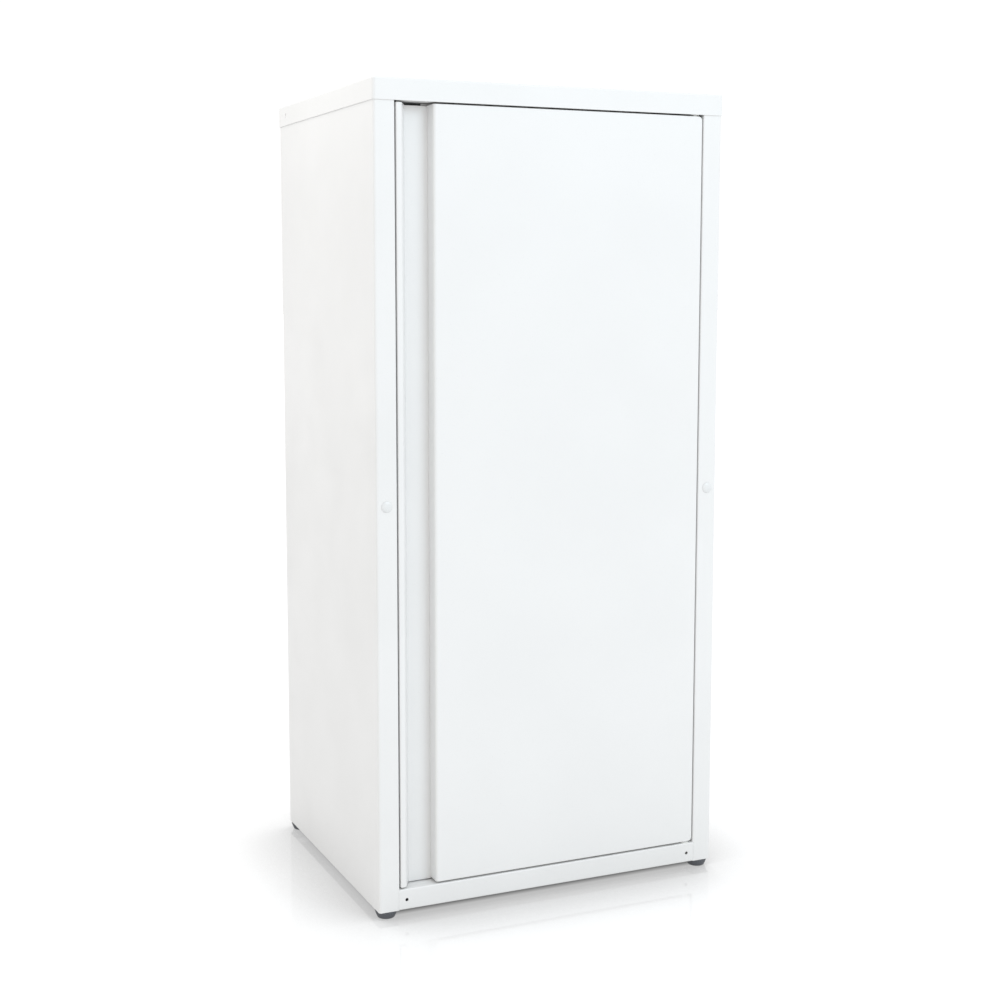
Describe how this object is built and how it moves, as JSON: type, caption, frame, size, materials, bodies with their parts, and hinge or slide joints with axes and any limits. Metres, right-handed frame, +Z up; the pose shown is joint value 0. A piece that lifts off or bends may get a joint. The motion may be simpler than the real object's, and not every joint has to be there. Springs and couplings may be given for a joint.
{
  "type": "locker cabinet",
  "caption": "Upright sheet-steel locker cabinet with an inset right-hinged door, full-height finger channel, lift-off shelves on slotted strips and levelling feet.",
  "frame": {"origin": "on the floor, under the middle of the cabinet (bottom centre of the bounding box)", "axes": "+Z up, +X to the right seen from the door side (the hinge side), -Y out of the front, +Y to the back"},
  "size_m": [0.4, 0.32, 0.858],
  "materials": {
    "body_powder_coat": "satin white powder coat with a fine orange-peel texture",
    "door_powder_coat": "satin white powder coat with a fine orange-peel texture",
    "shelf_powder_coat": "satin white powder coat",
    "strip_powder_coat": "satin white powder coat, thin at the punched edges",
    "plug_plastic": "moulded white plastic, lightly textured",
    "nylon": "natural nylon",
    "foot_plastic": "dark grey moulded plastic",
    "zinc_steel": "bright zinc plating",
    "dark_screw": "black passivated screw",
    "white_screw": "powder-coated screw head",
    "magnet": "nickel plating",
    "buffer_rubber": "black rubber"
  },
  "bodies": {
    "cabinet": {"back_panel": "body_powder_coat", "back_panel_rivets": "body_powder_coat", "bottom_hinge_bush": "nylon", "bottom_rail": "body_powder_coat", "cap_screws": "white_screw", "catch_housing": "nylon", "catch_magnet": "magnet", "ceiling_pan": "body_powder_coat", "floor_pan": "body_powder_coat", "foot_nut_plates": "zinc_steel", "foot_weld_nuts": "zinc_steel", "front_left_strip": "strip_powder_coat", "front_right_strip": "strip_powder_coat", "header_stop": "body_powder_coat", "left_side_panel": "body_powder_coat", "left_stile_plug": "plug_plastic", "lower_shelf_clips": "strip_powder_coat", "rear_left_strip": "strip_powder_coat", "rear_rail": "body_powder_coat", "rear_right_strip": "strip_powder_coat", "right_side_panel": "body_powder_coat", "right_stile_plug": "plug_plastic", "strip_screws": "dark_screw", "top_cap": "body_powder_coat", "top_hinge_bush": "nylon", "upper_shelf_clips": "strip_powder_coat"},
    "door": {"door_skin": "door_powder_coat", "door_inner_panel": "door_powder_coat", "door_stiffener": "door_powder_coat", "top_hinge_bracket": "zinc_steel", "bottom_hinge_bracket": "zinc_steel", "bottom_hinge_pin": "zinc_steel", "hinge_pin_spring": "zinc_steel", "door_buffers": "buffer_rubber"},
    "upper_pin": {"top_hinge_pin": "zinc_steel"},
    "upper_shelf": {"upper_shelf": "shelf_powder_coat", "upper_shelf_stiffener": "shelf_powder_coat"},
    "lower_shelf": {"lower_shelf": "shelf_powder_coat", "lower_shelf_stiffener": "shelf_powder_coat"},
    "front_left_foot": {"front_left_foot_pad": "foot_plastic", "front_left_foot_stem": "zinc_steel"},
    "front_right_foot": {"front_right_foot_pad": "foot_plastic", "front_right_foot_stem": "zinc_steel"},
    "rear_left_foot": {"rear_left_foot_pad": "foot_plastic", "rear_left_foot_stem": "zinc_steel"},
    "rear_right_foot": {"rear_right_foot_pad": "foot_plastic", "rear_right_foot_stem": "zinc_steel"}
  },
  "joints": [
    {"name": "door_hinge", "type": "hinge", "parent": "cabinet", "child": "door", "pos_m": [0.168, -0.154, 0.433], "axis": [0, 0, 1], "range_deg": [0, 110]},
    {"name": "upper_pin_slide", "type": "slide", "parent": "door", "child": "upper_pin", "axis": [0, 0, -1], "range_m": [0, 0.009], "stiffness_N_per_m": 500, "springref_m": -0.01, "deforming": ["hinge_pin_spring"]},
    {"name": "upper_shelf_lift", "type": "slide", "parent": "cabinet", "child": "upper_shelf", "axis": [0, 0, 1], "range_m": [0, 0.025]},
    {"name": "lower_shelf_lift", "type": "slide", "parent": "cabinet", "child": "lower_shelf", "axis": [0, 0, 1], "range_m": [0, 0.025]},
    {"name": "front_left_foot_screw", "type": "slide", "parent": "cabinet", "child": "front_left_foot", "axis": [0, 0, -1], "range_m": [0, 0.01]},
    {"name": "front_right_foot_screw", "type": "slide", "parent": "cabinet", "child": "front_right_foot", "axis": [0, 0, -1], "range_m": [0, 0.01]},
    {"name": "rear_left_foot_screw", "type": "slide", "parent": "cabinet", "child": "rear_left_foot", "axis": [0, 0, -1], "range_m": [0, 0.01]},
    {"name": "rear_right_foot_screw", "type": "slide", "parent": "cabinet", "child": "rear_right_foot", "axis": [0, 0, -1], "range_m": [0, 0.01]}
  ]
}
